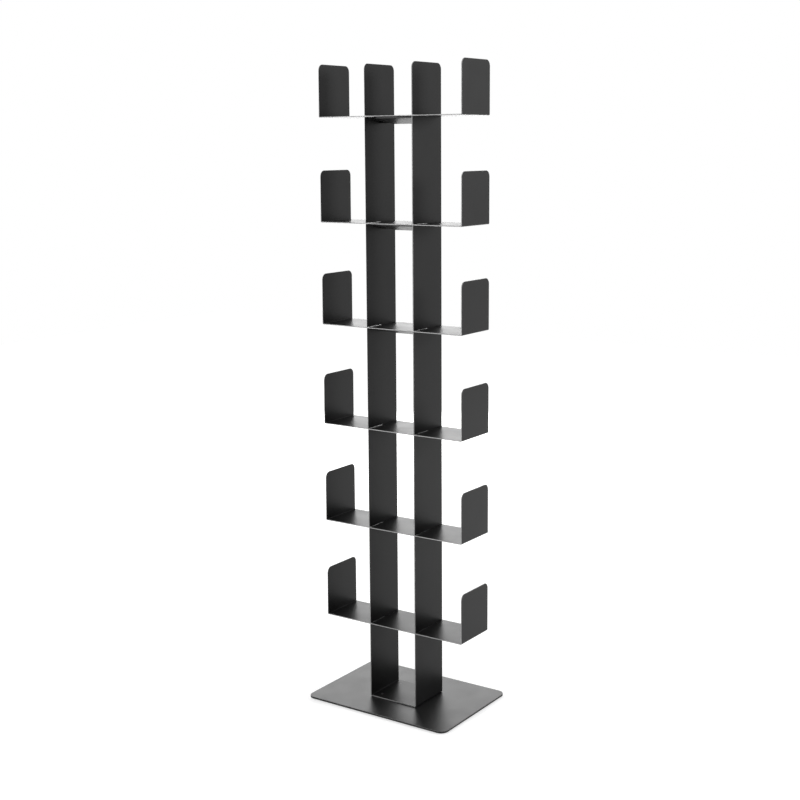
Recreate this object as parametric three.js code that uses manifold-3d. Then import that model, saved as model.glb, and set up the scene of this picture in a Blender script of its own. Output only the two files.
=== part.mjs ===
// A free-standing bookshelf: a folded two-post spine on a heavy base plate, crossed by six sheet trays.
// Units are millimetres. X runs along the shelves, Y from front to back, Z up from the floor.
import * as THREE from "three";
import { mergeVertices } from "three/addons/utils/BufferGeometryUtils.js";
import Module from "manifold-3d";

const wasm = await Module();
wasm.setup();

// Clearances
const seatGap = 0.3; // between faces that rest on each other, where the paint lies
const slotGap = 0.3; // on each side of a sheet in the slot that it crosses
const slotHeadroom = 0.4; // above a shelf, in the slots of the posts
const cutOverrun = 1; // how far a cut runs past the surface that it opens

// Shelves: flat trays with an upturned end at each side
const shelfCount = 6;
const shelfPitch = 253.4;
const shelfWidth = 410;
const shelfDepth = 124;
const shelfSheet = 2;
const shelfBendInside = 1;
const endHeight = 126.5; // from a shelf's underside to the top of its ends
const endCorner = 15;

// Spine: two posts and the foot between them, folded from one strip
const postSpacing = 137; // centre to centre
const postSheet = 2.5;
const postBendInside = 1;
const postCorner = 15;
const postRise = 124; // of the posts above the top shelf's underside
const lowestShelfHeight = 194.5; // of the lowest shelf's underside above the base plate
const slotDepthShare = 0.5; // of the depth, cut from the front in the posts and from the back in the shelves

// Support rails: one folded strip under each shelf, between the posts
const railSheet = 1.5;
const railBendInside = 0.8;
const railSetback = 25; // behind the shelf's front edge
const railReach = 44; // from front to back
const railDrop = 17; // from the rail's flat top to its lowest edge
const railSeam = 0.3; // between the rear wall and the sloped lip
const railMitreWidth = 40; // of the corner cut off each end of the sloped lip
const railMitreRun = 40; // of that corner, from front to back

// Base plate
const plateWidth = 417;
const plateDepth = 298.5;
const plateThickness = 5;
const plateCorner = 20;

// Countersunk screws, driven up through the base plate into the foot
const screwDiameter = 5;
const screwHeadDiameter = 10;
const screwHeadHeight = 2.8;
const screwHeadRim = 0.4; // straight edge of the head
const screwSunk = 0.4; // from the plate's underside up to the head
const screwEndRecess = 0.2; // from the foot's top down to the screw's end
const screwSocketWidth = 3;
const screwSocketDepth = 1.6;
const screwInset = 20.5; // from the posts' middles, and from the foot's front and back edges

// Pads under the base plate
const padDiameter = 22;
const padThickness = 1.5;
const padInset = 30; // from the plate's edges to a pad's centre

// How finely curves are drawn
const bendSteps = 4;
const cornerSteps = 5;
const roundSides = 32;
const hexagonSides = 6;

// Colours and finishes
const finishes = {
  spinePaint: { color: 0x17181a, roughness: 0.4, metalness: 0 },
  shelfPaint: { color: 0x17181a, roughness: 0.4, metalness: 0 },
  platePaint: { color: 0x1a1b1d, roughness: 0.45, metalness: 0 },
  blackedSteel: { color: 0x1c1c1e, roughness: 0.45, metalness: 0.5 },
  felt: { color: 0x262626, roughness: 0.95, metalness: 0 },
};

// Heights above the floor, and places that several pieces share
const plateUnderside = padThickness + seatGap;
const plateTop = plateUnderside + plateThickness;
const footUnderside = plateTop + seatGap;
const shelfUndersides = Array.from({ length: shelfCount }, (_, i) => plateTop + lowestShelfHeight + i * shelfPitch);
const spineHeight = shelfUndersides[shelfCount - 1] + postRise - footUnderside;
const front = -shelfDepth / 2;
const back = shelfDepth / 2;
const crossingMiddle = front + shelfDepth * slotDepthShare; // where the slots of post and shelf meet
const postPlaces = [-postSpacing / 2, postSpacing / 2];
const screwPlaces = fourCorners(postSpacing / 2 - screwInset, shelfDepth / 2 - screwInset);
const padPlaces = fourCorners(plateWidth / 2 - padInset, plateDepth / 2 - padInset);

function fourCorners(x, y) {
  return [
    ["front_left", -x, -y],
    ["front_right", x, -y],
    ["rear_left", -x, y],
    ["rear_right", x, y],
  ];
}

// Solids

function toSolid(geometry) {
  const bare = geometry.clone();
  bare.deleteAttribute("normal");
  bare.deleteAttribute("uv");
  const merged = mergeVertices(bare);
  return new wasm.Manifold(new wasm.Mesh({
    numProp: 3,
    vertProperties: new Float32Array(merged.attributes.position.array),
    triVerts: new Uint32Array(merged.index.array),
  }));
}

function toGeometry(solid) {
  const mesh = solid.getMesh();
  const geometry = new THREE.BufferGeometry();
  geometry.setAttribute("position", new THREE.BufferAttribute(new Float32Array(mesh.vertProperties), 3));
  geometry.setIndex(new THREE.BufferAttribute(new Uint32Array(mesh.triVerts), 1));
  geometry.computeVertexNormals();
  return geometry;
}

// A closed outline through corners [x, y, radius], rounded where a radius is given.
function outline(corners) {
  const shape = new THREE.Shape();
  const points = corners.map(([x, y]) => new THREE.Vector2(x, y));
  points.forEach((corner, i) => {
    const radius = corners[i][2] ?? 0;
    if (radius === 0) {
      if (i === 0) shape.moveTo(corner.x, corner.y);
      else shape.lineTo(corner.x, corner.y);
      return;
    }
    const before = points.at(i - 1).clone().sub(corner).normalize();
    const after = points[(i + 1) % points.length].clone().sub(corner).normalize();
    const halfAngle = Math.acos(before.dot(after)) / 2;
    const towards = before.clone().add(after).normalize();
    const centre = corner.clone().addScaledVector(towards, radius / Math.sin(halfAngle));
    const reach = radius / Math.tan(halfAngle);
    const start = corner.clone().addScaledVector(before, reach).sub(centre);
    const end = corner.clone().addScaledVector(after, reach).sub(centre);
    shape.absarc(centre.x, centre.y, radius, start.angle(), end.angle(), before.cross(after) > 0);
  });
  shape.closePath();
  return shape;
}

function extrude(shape, depth, steps) {
  return new THREE.ExtrudeGeometry(shape, { depth, bevelEnabled: false, curveSegments: steps });
}

// An outline in the X-Y plane, drawn up from height z0 to z1.
function alongZ(shape, z0, z1, steps) {
  return toSolid(extrude(shape, z1 - z0, steps).translate(0, 0, z0));
}

// An outline in the X-Z plane, drawn along Y from y0 to y1.
function alongY(shape, y0, y1, steps) {
  return toSolid(extrude(shape, y1 - y0, steps).rotateX(Math.PI / 2).translate(0, y1, 0));
}

// An outline in the Y-Z plane, drawn along X from x0 to x1.
function alongX(shape, x0, x1, steps) {
  const [x, y, z] = [new THREE.Vector3(1, 0, 0), new THREE.Vector3(0, 1, 0), new THREE.Vector3(0, 0, 1)];
  const turned = extrude(shape, x1 - x0, steps).applyMatrix4(new THREE.Matrix4().makeBasis(y, z, x));
  return toSolid(turned.translate(x0, 0, 0));
}

function box(x0, x1, y0, y1, z0, z1) {
  const geometry = new THREE.BoxGeometry(x1 - x0, y1 - y0, z1 - z0);
  return toSolid(geometry.translate((x0 + x1) / 2, (y0 + y1) / 2, (z0 + z1) / 2));
}

// A solid turned about Z from [radius, height] points that start and end on the axis and climb.
function turnedAboutZ(points) {
  const profile = points.map(([radius, height]) => new THREE.Vector2(radius, height));
  return toSolid(new THREE.LatheGeometry(profile, roundSides).rotateX(Math.PI / 2));
}

// A strip folded into a square U that opens upwards, with the top corners of its sides rounded.
function foldedTray(width, height, sheet, bendInside, corner) {
  const [outer, inner, bendOutside] = [width / 2, width / 2 - sheet, bendInside + sheet];
  const above = height + cutOverrun;
  const section = outline([
    [-outer, above], [-outer, 0, bendOutside], [outer, 0, bendOutside], [outer, above],
    [inner, above], [inner, sheet, bendInside], [-inner, sheet, bendInside], [-inner, above],
  ]);
  const sideView = outline([
    [front, -cutOverrun], [back, -cutOverrun], [back, height, corner], [front, height, corner],
  ]);
  const strip = alongY(section, front - cutOverrun, back + cutOverrun, bendSteps);
  return strip.intersect(alongX(sideView, -outer - cutOverrun, outer + cutOverrun, cornerSteps));
}

// Pieces

// A shelf with its underside at height 0, slotted from the back for each post.
function shelfSolid() {
  const halfSlot = postSheet / 2 + slotGap;
  const slotStart = crossingMiddle - seatGap / 2;
  return postPlaces.reduce((shelf, x) => {
    const slot = box(
      x - halfSlot, x + halfSlot, slotStart, back + cutOverrun, -cutOverrun, shelfSheet + cutOverrun,
    );
    return shelf.subtract(slot);
  }, foldedTray(shelfWidth, endHeight, shelfSheet, shelfBendInside, endCorner));
}

// The spine with its foot's underside at height 0, slotted from the front for each shelf.
function spineSolid() {
  const outerWidth = postSpacing + postSheet;
  let spine = foldedTray(outerWidth, spineHeight, postSheet, postBendInside, postCorner);
  for (const underside of shelfUndersides) {
    const bottom = underside - footUnderside - seatGap;
    const top = underside - footUnderside + shelfSheet + slotHeadroom;
    for (const x of postPlaces) {
      const halfSlot = postSheet / 2 + cutOverrun;
      const slotEnd = crossingMiddle + seatGap / 2;
      spine = spine.subtract(box(x - halfSlot, x + halfSlot, front - cutOverrun, slotEnd, bottom, top));
    }
  }
  const radius = screwDiameter / 2 + slotGap;
  const hole = turnedAboutZ([
    [0, -cutOverrun], [radius, -cutOverrun], [radius, postSheet + cutOverrun], [0, postSheet + cutOverrun],
  ]);
  return screwPlaces.reduce((cut, [, x, y]) => cut.subtract(hole.translate([x, y, 0])), spine);
}

// A support rail, seen from its end with its nose at y = 0 and its top at height 0: a flat top, a rear
// wall, and a lip that folds back under the top and slopes down to the wall's foot.
function railSolid() {
  const bendOutside = railBendInside + railSheet;
  const run = railReach - bendOutside;
  const fall = railDrop - bendOutside;
  const slope = Math.atan2(fall, run) - Math.asin(bendOutside / Math.hypot(run, fall));
  const lipHeight = railSheet / Math.cos(slope); // the lip's thickness, measured upright
  const lipTop = (y) => (railReach - y) * Math.tan(slope) - railDrop + lipHeight; // the lip's inner face
  const noseOutside = railReach - railDrop / Math.tan(slope); // where the faces would meet if not curved
  const noseInside = railReach - (railDrop - lipHeight - railSheet) / Math.tan(slope);
  const wallFront = railReach - railSheet;
  const wallFoot = lipTop(wallFront) + railSeam;
  const section = outline([
    [railReach, 0, bendOutside], [noseOutside, 0, bendOutside], [railReach, -railDrop],
    [railReach, lipTop(railReach)], [noseInside, -railSheet, railBendInside],
    [wallFront, -railSheet, railBendInside], [wallFront, wallFoot], [railReach, wallFoot],
  ]);
  const halfLength = (postSpacing - postSheet) / 2 - seatGap;
  const rail = alongX(section, -halfLength, halfLength, bendSteps);

  const pastEnd = railReach + cutOverrun;
  const clear = railSeam / 2; // the cuts stay below the wall
  const lipSide = outline([
    [0, lipTop(0) + clear], [pastEnd, lipTop(pastEnd) + clear], [pastEnd, -railDrop - cutOverrun],
    [0, -railDrop - cutOverrun],
  ]);
  const lip = alongX(lipSide, -halfLength - cutOverrun, halfLength + cutOverrun, bendSteps);
  const widening = railMitreWidth / railMitreRun;
  return [-1, 1].reduce((cut, side) => {
    const corner = outline([
      [side * halfLength, railReach - railMitreRun],
      [side * (halfLength - railMitreWidth - cutOverrun * widening), pastEnd],
      [side * (halfLength + cutOverrun), pastEnd],
      [side * (halfLength + cutOverrun), railReach - railMitreRun],
    ]);
    const mitre = alongZ(corner, -railDrop - 2 * cutOverrun, 0, bendSteps).intersect(lip);
    return cut.subtract(mitre);
  }, rail);
}

function plateSolid() {
  const [x, y] = [plateWidth / 2, plateDepth / 2];
  const corners = [[-x, -y, plateCorner], [x, -y, plateCorner], [x, y, plateCorner], [-x, y, plateCorner]];
  const headRadius = screwHeadDiameter / 2 + slotGap;
  const shankRadius = screwDiameter / 2 + slotGap;
  const pastTop = plateThickness + cutOverrun;
  const countersink = turnedAboutZ([
    [0, -cutOverrun], [headRadius, -cutOverrun], [headRadius, screwSunk + screwHeadRim + slotGap],
    [shankRadius, screwSunk + screwHeadHeight + slotGap], [shankRadius, pastTop], [0, pastTop],
  ]);
  const plate = alongZ(outline(corners), 0, plateThickness, cornerSteps);
  return screwPlaces.reduce((cut, [, sx, sy]) => cut.subtract(countersink.translate([sx, sy, 0])), plate);
}

// A screw with the bottom of its head at height 0.
function screwSolid() {
  const length = plateThickness - screwSunk + seatGap + postSheet - screwEndRecess;
  const body = turnedAboutZ([
    [0, 0], [screwHeadDiameter / 2, 0], [screwHeadDiameter / 2, screwHeadRim],
    [screwDiameter / 2, screwHeadHeight], [screwDiameter / 2, length], [0, length],
  ]);
  const socketRadius = screwSocketWidth / 2 / Math.cos(Math.PI / hexagonSides);
  const socketHeight = screwSocketDepth + cutOverrun;
  const socket = new THREE.CylinderGeometry(socketRadius, socketRadius, socketHeight, hexagonSides);
  socket.rotateX(Math.PI / 2).translate(0, 0, screwSocketDepth - socketHeight / 2);
  return body.subtract(toSolid(socket));
}

// Assembly

const bookshelf = new THREE.Group();

function addPiece(name, geometry, finish, x, y, z) {
  const mesh = new THREE.Mesh(geometry, new THREE.MeshStandardMaterial(finishes[finish]));
  mesh.name = name;
  mesh.position.set(x, y, z);
  bookshelf.add(mesh);
}

addPiece("base_plate", toGeometry(plateSolid()), "platePaint", 0, 0, plateUnderside);
addPiece("spine", toGeometry(spineSolid()), "spinePaint", 0, 0, footUnderside);

const shelfGeometry = toGeometry(shelfSolid());
const railGeometry = toGeometry(railSolid());
shelfUndersides.forEach((underside, i) => {
  addPiece(`shelf_${i + 1}`, shelfGeometry.clone(), "shelfPaint", 0, 0, underside);
  addPiece(`support_rail_${i + 1}`, railGeometry.clone(), "spinePaint", 0, front + railSetback, underside - seatGap);
});

const screwGeometry = toGeometry(screwSolid());
screwPlaces.forEach(([place, x, y]) => {
  addPiece(`base_screw_${place}`, screwGeometry.clone(), "blackedSteel", x, y, plateUnderside + screwSunk);
});

const padRadius = padDiameter / 2;
const padGeometry = new THREE.CylinderGeometry(padRadius, padRadius, padThickness, roundSides).rotateX(Math.PI / 2);
padPlaces.forEach(([place, x, y]) => {
  addPiece(`floor_pad_${place}`, padGeometry.clone(), "felt", x, y, padThickness / 2);
});

export default bookshelf;
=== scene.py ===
import math

import bmesh
import bpy
from mathutils import Matrix, Vector


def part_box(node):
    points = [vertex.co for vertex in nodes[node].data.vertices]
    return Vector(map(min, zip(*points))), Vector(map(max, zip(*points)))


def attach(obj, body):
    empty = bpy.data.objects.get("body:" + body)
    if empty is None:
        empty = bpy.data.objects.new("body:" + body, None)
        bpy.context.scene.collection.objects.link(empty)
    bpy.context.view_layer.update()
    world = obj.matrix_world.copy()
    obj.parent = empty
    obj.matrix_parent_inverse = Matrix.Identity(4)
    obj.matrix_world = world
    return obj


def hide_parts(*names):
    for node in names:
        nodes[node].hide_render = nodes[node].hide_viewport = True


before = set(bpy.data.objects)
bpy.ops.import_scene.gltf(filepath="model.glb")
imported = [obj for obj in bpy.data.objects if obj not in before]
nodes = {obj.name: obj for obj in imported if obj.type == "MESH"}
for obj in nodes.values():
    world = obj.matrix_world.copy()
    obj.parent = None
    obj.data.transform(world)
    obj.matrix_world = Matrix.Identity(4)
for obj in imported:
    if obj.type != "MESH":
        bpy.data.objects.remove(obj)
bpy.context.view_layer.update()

mm = 0.001
scene = bpy.context.scene


def named(start):
    return sorted(name for name in nodes if name.startswith(start))


# Camera: the photograph's own view, fitted to the corners of the shelves and posts
photoView = {
    "focalPixels": 1358.8,
    "imagePixels": 800,
    "place": (1.8677, -2.7374, 1.4010),  # metres from the middle of the base plate's underside
    "yaw": -0.6022,
    "pitch": -0.1859,
    "roll": -0.0078,
    "sensor": 36,
}


def makeCamera(v=photoView):
    ahead = Vector((
        math.sin(v["yaw"]) * math.cos(v["pitch"]),
        math.cos(v["yaw"]) * math.cos(v["pitch"]),
        math.sin(v["pitch"]),
    ))
    level = Vector((math.cos(v["yaw"]), -math.sin(v["yaw"]), 0))
    upright = level.cross(ahead)
    right = math.cos(v["roll"]) * level + math.sin(v["roll"]) * upright
    up = math.cos(v["roll"]) * upright - math.sin(v["roll"]) * level
    data = bpy.data.cameras.new("photoCamera")
    data.sensor_width = v["sensor"]
    data.lens = v["focalPixels"] / v["imagePixels"] * v["sensor"]
    camera = bpy.data.objects.new("photoCamera", data)
    plateUnderside = Vector((0, 0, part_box("base_plate")[0].z))
    camera.matrix_world = Matrix((right, up, -ahead)).transposed().to_4x4()
    camera.location = Vector(v["place"]) + plateUnderside
    scene.collection.objects.link(camera)
    scene.camera = camera


# Node material helpers: a value is a number, a colour or another node's output
def newMaterial(name):
    material = bpy.data.materials.new(name)
    material.use_nodes = True
    tree = material.node_tree
    return material, tree, tree.nodes["Principled BSDF"]


def addNode(tree, kind, **values):
    node = tree.nodes.new(kind)
    for key, value in values.items():
        setattr(node, key, value)
    return node


def feed(tree, value, socket):
    if isinstance(value, bpy.types.NodeSocket):
        tree.links.new(value, socket)
    elif socket.type == "RGBA":
        socket.default_value = (*value, 1)
    else:
        socket.default_value = value


def objectPlace(tree):
    return addNode(tree, "ShaderNodeTexCoord").outputs["Object"]


def noise(tree, place, size, detail, roughness=0.5):
    node = addNode(tree, "ShaderNodeTexNoise")
    feed(tree, 1 / size, node.inputs["Scale"])  # size of one blotch in metres
    feed(tree, detail, node.inputs["Detail"])
    feed(tree, roughness, node.inputs["Roughness"])
    feed(tree, place, node.inputs["Vector"])
    return node.outputs["Fac"]


def spread(tree, value, low, high, start=0.3, end=0.7):  # most of a noise lies between 0.3 and 0.7
    node = addNode(tree, "ShaderNodeMapRange")
    for socket, number in zip(("From Min", "From Max", "To Min", "To Max"), (start, end, low, high)):
        feed(tree, number, node.inputs[socket])
    feed(tree, value, node.inputs["Value"])
    return node.outputs["Result"]


def maths(tree, operation, a, b):
    node = addNode(tree, "ShaderNodeMath", operation=operation)
    feed(tree, a, node.inputs[0])
    feed(tree, b, node.inputs[1])
    return node.outputs[0]


def plus(tree, a, b):
    return maths(tree, "ADD", a, b)


def times(tree, a, b):
    return maths(tree, "MULTIPLY", a, b)


def blended(tree, factor, a, b):
    node = addNode(tree, "ShaderNodeMix", data_type="RGBA")
    colourInputs = [socket for socket in node.inputs if socket.type == "RGBA"]
    feed(tree, factor, node.inputs[0])
    feed(tree, a, colourInputs[0])
    feed(tree, b, colourInputs[1])
    return next(socket for socket in node.outputs if socket.type == "RGBA")


def bumped(tree, shader, height, depth, strength):
    node = addNode(tree, "ShaderNodeBump")
    feed(tree, depth, node.inputs["Distance"])
    feed(tree, strength, node.inputs["Strength"])
    feed(tree, height, node.inputs["Height"])
    feed(tree, node.outputs["Normal"], shader.inputs["Normal"])


# Object helpers
def addObject(shape, name, material):
    mesh = bpy.data.meshes.new(name)
    shape.to_mesh(mesh)
    shape.free()
    mesh.materials.append(material)
    thing = bpy.data.objects.new(name, mesh)
    scene.collection.objects.link(thing)
    return thing


def addPiece(shape, name, material, node):
    for face in shape.faces:
        face.smooth = True
    piece = addObject(shape, name, material)
    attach(piece, "root")
    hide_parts(node)
    return piece


# Black powder coat: fine orange peel, slow patches of gloss, and a painted highlight on the cut edges,
# where a grey, partly metallic colour stands in for the lamps' glints
powderCoat = {
    "colour": (0.0035, 0.0035, 0.0036),
    "patchColour": (0.0055, 0.0055, 0.0057),
    "patch": {"size": 60 * mm, "detail": 4},
    "roughness": (0.36, 0.41),
    "peel": {"size": 1.5 * mm, "detail": 2},
    "peelDepth": 0.02 * mm,
    "peelStrength": 0.12,
    "grain": {"size": 0.3 * mm, "detail": 1},
    "grainShare": 0.2,  # of the peel's height
    "grainRoughness": 0.01,  # more or less than the patch's
    # noise that breaks up the painted edge highlight
    "edgeHighlightBreakup": {"size": 9 * mm, "detail": 5},
    "edgeHighlightShare": (0.75, 1.0),  # how much of the painted edge highlight an edge has
    "edgeRoughness": 0.12,  # added on an edge
    "edgeHighlightMetal": 0.5,  # metallic on an edge, which with the edge grey paints a highlight there
}
# Each kind of sheet: how strongly its coat reflects, how grey its painted edge highlight is and how much
# rougher it is
coats = {
    "spine": {"ior": 1.25, "edgeHighlightGrey": 0.22, "rougher": 0},
    "shelf": {"ior": 1.28, "edgeHighlightGrey": 0.32, "rougher": 0},
    "rail": {"ior": 1.50, "edgeHighlightGrey": 0.22, "rougher": 0},
    "plate": {"ior": 1.36, "edgeHighlightGrey": 0.16, "rougher": 0.03},
}


def makePowderCoat(kind, p=powderCoat):
    coat = coats[kind]
    material, tree, shader = newMaterial(kind + "PowderCoat")
    place = objectPlace(tree)
    peel = noise(tree, place, **p["peel"])
    grain = noise(tree, place, **p["grain"])
    patch = noise(tree, place, **p["patch"])
    edge = addNode(tree, "ShaderNodeAttribute", attribute_name="edgeShare").outputs["Fac"]
    # painted highlight mask: the marked edge faces, broken up by noise
    paintedEdgeHighlight = times(tree, edge, spread(tree, noise(tree, place, **p["edgeHighlightBreakup"]), *p["edgeHighlightShare"]))
    low, high = (value + coat["rougher"] for value in p["roughness"])
    rough = spread(tree, patch, low, high)
    rough = plus(tree, rough, spread(tree, grain, -p["grainRoughness"], p["grainRoughness"]))
    rough = plus(tree, rough, times(tree, paintedEdgeHighlight, p["edgeRoughness"]))
    body = blended(tree, spread(tree, patch, 0, 1), p["colour"], p["patchColour"])
    # the edges' grey and metallic colour paint a highlight on them
    feed(tree, blended(tree, paintedEdgeHighlight, body, (coat["edgeHighlightGrey"],) * 3), shader.inputs["Base Color"])
    feed(tree, rough, shader.inputs["Roughness"])
    feed(tree, times(tree, paintedEdgeHighlight, p["edgeHighlightMetal"]), shader.inputs["Metallic"])
    feed(tree, coat["ior"], shader.inputs["IOR"])
    height = plus(tree, peel, times(tree, grain, p["grainShare"]))
    bumped(tree, shader, height, p["peelDepth"], p["peelStrength"])
    return material


# Sheet pieces: the CAD solid's own shape, with its cut edges rounded as a deburred and coated edge is
sheetEdge = {
    "round": 0.4 * mm,
    "segments": 3,
    "merge": 0.002 * mm,  # nearer vertices are one
    "flat": math.radians(0.5),  # faces that turn less than this are one
    "sharp": math.radians(32),  # edges that turn more than this are rounded
    "cutWidth": 2.9 * mm,  # a narrower face is a cut face
    "cutShare": 0.2,  # if more of its outline than this is sharp
    "flatWeight": 100,  # the large flat faces set the shading
}
plateEdge = {**sheetEdge, "round": 0.5 * mm, "cutWidth": 0}  # only the plate's rounded edges get the painted edge highlight


def isCutFace(face, sharpEdges, e):
    outline = face.calc_perimeter()
    sharpLength = sum(edge.calc_length() for edge in face.edges if edge in sharpEdges)
    return 2 * face.calc_area() / outline < e["cutWidth"] and sharpLength > e["cutShare"] * outline


def makeSheet(node, name, material, e=sheetEdge):
    shape = bmesh.new()
    shape.from_mesh(nodes[node].data)
    bmesh.ops.remove_doubles(shape, verts=shape.verts, dist=e["merge"])
    bmesh.ops.dissolve_limit(shape, angle_limit=e["flat"], verts=shape.verts, edges=shape.edges)
    sharpEdges = [edge for edge in shape.edges if edge.is_manifold and edge.calc_face_angle() > e["sharp"]]
    # edgeShare marks the cut faces and rounded edges, where the coat's painted highlight goes
    edgeShare = shape.faces.layers.float.new("edgeShare")
    sharpSet = set(sharpEdges)
    for face in shape.faces:
        face[edgeShare] = float(isCutFace(face, sharpSet, e))
    rounds = bmesh.ops.bevel(
        shape, geom=sharpEdges, offset=e["round"], offset_type="OFFSET", segments=e["segments"],
        profile=0.5, affect="EDGES", clamp_overlap=False, material=-1,
    )
    for face in rounds["faces"]:
        face[edgeShare] = 1.0
    bmesh.ops.triangulate(shape, faces=[face for face in shape.faces if len(face.verts) > 4])
    piece = addPiece(shape, name, material, node)
    shading = piece.modifiers.new("evenShading", "WEIGHTED_NORMAL")
    shading.weight = e["flatWeight"]


# Floor pads: pressed felt discs with a soft rim
felt = {
    "colour": (0.028, 0.028, 0.029),
    "fibreColour": (0.06, 0.06, 0.061),
    "fibres": {"size": 0.6 * mm, "detail": 6, "roughness": 0.7},
    "roughness": (0.85, 1.0),
    "fuzzDepth": 0.15 * mm,
    "fuzzStrength": 0.8,
    "sides": 48,
    "rim": 0.5 * mm,
    "rimSegments": 3,
}


def makeFelt(p=felt):
    material, tree, shader = newMaterial("padFelt")
    fibres = noise(tree, objectPlace(tree), **p["fibres"])
    body = blended(tree, spread(tree, fibres, 0, 1), p["colour"], p["fibreColour"])
    feed(tree, body, shader.inputs["Base Color"])
    feed(tree, spread(tree, fibres, *p["roughness"]), shader.inputs["Roughness"])
    bumped(tree, shader, fibres, p["fuzzDepth"], p["fuzzStrength"])
    return material


def makePad(node, material, p=felt):
    low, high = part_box(node)
    radius = (high.x - low.x) / 2
    shape = bmesh.new()
    bmesh.ops.create_cone(
        shape, cap_ends=True, segments=p["sides"], radius1=radius, radius2=radius, depth=high.z - low.z,
    )
    rims = [edge for edge in shape.edges if edge.verts[0].co.z == edge.verts[1].co.z]
    bmesh.ops.bevel(
        shape, geom=rims, offset=p["rim"], segments=p["rimSegments"], profile=0.5, affect="EDGES",
        material=-1,
    )
    bmesh.ops.translate(shape, verts=shape.verts, vec=(low + high) / 2)
    addPiece(shape, node.replace("floor_pad", "felt_pad"), material, node)


# Screws: blacked steel, kept as the CAD made them
blacking = {
    "colour": (0.012, 0.012, 0.013),
    "wornColour": (0.035, 0.034, 0.033),
    "patch": {"size": 1.5 * mm, "detail": 5},
    "roughness": (0.38, 0.5),
    "metallic": 0.5,
    "scratches": {"size": 0.2 * mm, "detail": 2},
    "scratchDepth": 0.01 * mm,
    "scratchStrength": 0.5,
}


def makeBlacking(p=blacking):
    material, tree, shader = newMaterial("blackedSteel")
    place = objectPlace(tree)
    patch = noise(tree, place, **p["patch"])
    scratches = noise(tree, place, **p["scratches"])
    body = blended(tree, spread(tree, patch, 0, 1), p["colour"], p["wornColour"])
    feed(tree, body, shader.inputs["Base Color"])
    feed(tree, spread(tree, patch, *p["roughness"]), shader.inputs["Roughness"])
    feed(tree, p["metallic"], shader.inputs["Metallic"])
    bumped(tree, shader, scratches, p["scratchDepth"], p["scratchStrength"])
    return material


def dressBookshelf():
    coat = {kind: makePowderCoat(kind) for kind in coats}
    makeSheet("spine", "spine_sheet", coat["spine"])
    for node in named("shelf_"):
        makeSheet(node, node + "_sheet", coat["shelf"])
    for node in named("support_rail_"):
        makeSheet(node, node + "_sheet", coat["rail"])
    makeSheet("base_plate", "base_plate_slab", coat["plate"], plateEdge)
    print("spine, shelves, rails and base plate rounded and coated")
    padFelt = makeFelt()
    for node in named("floor_pad_"):
        makePad(node, padFelt)
    blackedSteel = makeBlacking()
    for node in named("base_screw_"):
        for slot in nodes[node].material_slots:
            slot.material = blackedSteel
    print("felt pads made and screws blacked")


# White studio: a pale floor, a white surround and soft lamps
studio = {
    "floorSize": 12,
    "floorColour": (0.8, 0.8, 0.8),
    "floorRoughness": 0.9,
    "floorLift": (0.45, 0.68),  # keeps the open floor white to the camera, near the object and far out
    "liftReach": (0.8, 2.6),
    "white": (1, 1, 1),
    "surround": 0.45,  # the surround's light on the object
    "surroundSeen": 1.0,  # its strength to the camera and in reflections
}
lamps = {
    "backLeft": {"place": (-1.9, 3.1, 1.2), "aim": (0, 0, 0.6), "size": (2.8, 2.2), "watts": 61},
    "frontLeft": {"place": (-2.0, -3.3, 1.0), "aim": (0, 0, 0.9), "size": (0.8, 1.8), "watts": 60},
    "rightBack": {"place": (3.5, 1.8, 2.0), "aim": (0, 0, 1.3), "size": (1.2, 0.9), "watts": 76},
    "overhead": {"place": (-0.7, -0.2, 3.4), "aim": (0, 0, 0.8), "size": (1.4, 1.4), "watts": 12},
}


def seenRay(tree):  # 1 for what the camera sees, straight or by gloss or glass, and 0 for what gives light
    path = addNode(tree, "ShaderNodeLightPath")
    seen = plus(tree, path.outputs["Is Camera Ray"], path.outputs["Is Glossy Ray"])
    return plus(tree, seen, path.outputs["Is Transmission Ray"])


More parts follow.
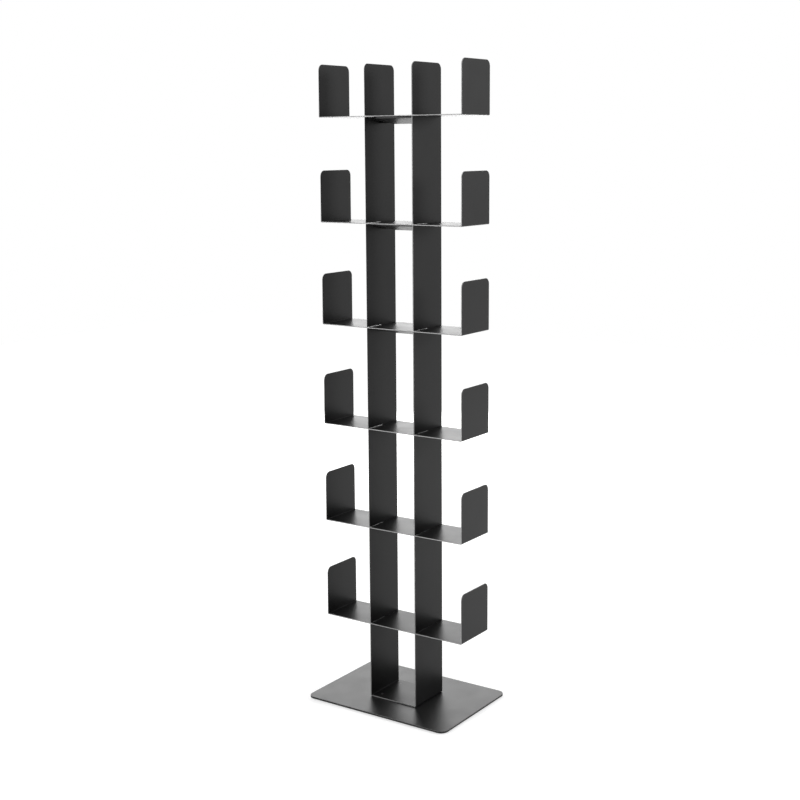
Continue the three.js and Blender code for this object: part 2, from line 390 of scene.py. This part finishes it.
def makeFloor(v=studio):
    material, tree, shader = newMaterial("paleFloor")
    feed(tree, v["floorColour"], shader.inputs["Base Color"])
    feed(tree, v["floorRoughness"], shader.inputs["Roughness"])
    feed(tree, v["white"], shader.inputs["Emission Color"])
    away = addNode(tree, "ShaderNodeVectorMath", operation="LENGTH")
    feed(tree, objectPlace(tree), away.inputs[0])
    lift = spread(tree, away.outputs["Value"], *v["floorLift"], *v["liftReach"])
    feed(tree, times(tree, lift, seenRay(tree)), shader.inputs["Emission Strength"])
    oneSided = addNode(tree, "ShaderNodeMixShader")  # the bookshelf's underside shows from below
    clear = addNode(tree, "ShaderNodeBsdfTransparent")
    feed(tree, addNode(tree, "ShaderNodeNewGeometry").outputs["Backfacing"], oneSided.inputs[0])
    feed(tree, shader.outputs["BSDF"], oneSided.inputs[1])
    feed(tree, clear.outputs["BSDF"], oneSided.inputs[2])
    feed(tree, oneSided.outputs["Shader"], tree.nodes["Material Output"].inputs["Surface"])
    shape = bmesh.new()
    bmesh.ops.create_grid(shape, x_segments=1, y_segments=1, size=v["floorSize"] / 2)
    addObject(shape, "paleFloor", material)


def makeSurround(v=studio):
    world = bpy.data.worlds.new("whiteSurround")
    world.use_nodes = True
    scene.world = world
    tree = world.node_tree
    background = tree.nodes["Background"]
    feed(tree, v["white"], background.inputs["Color"])
    strength = spread(tree, seenRay(tree), v["surround"], v["surroundSeen"], start=0, end=1)
    feed(tree, strength, background.inputs["Strength"])


def makeLamp(name, v):
    data = bpy.data.lights.new(name, "AREA")
    data.shape = "RECTANGLE"
    data.size, data.size_y = v["size"]
    data.energy = v["watts"]
    lamp = bpy.data.objects.new(name, data)
    lamp.location = v["place"]
    aim = Vector(v["aim"]) - Vector(v["place"])
    lamp.rotation_euler = aim.to_track_quat("-Z", "Y").to_euler()
    scene.collection.objects.link(lamp)


makeCamera()
print("camera set")
dressBookshelf()
makeFloor()
makeSurround()
for lampName, lampValues in lamps.items():
    makeLamp(lampName, lampValues)
scene.view_settings.view_transform = "Standard"
print("studio set")
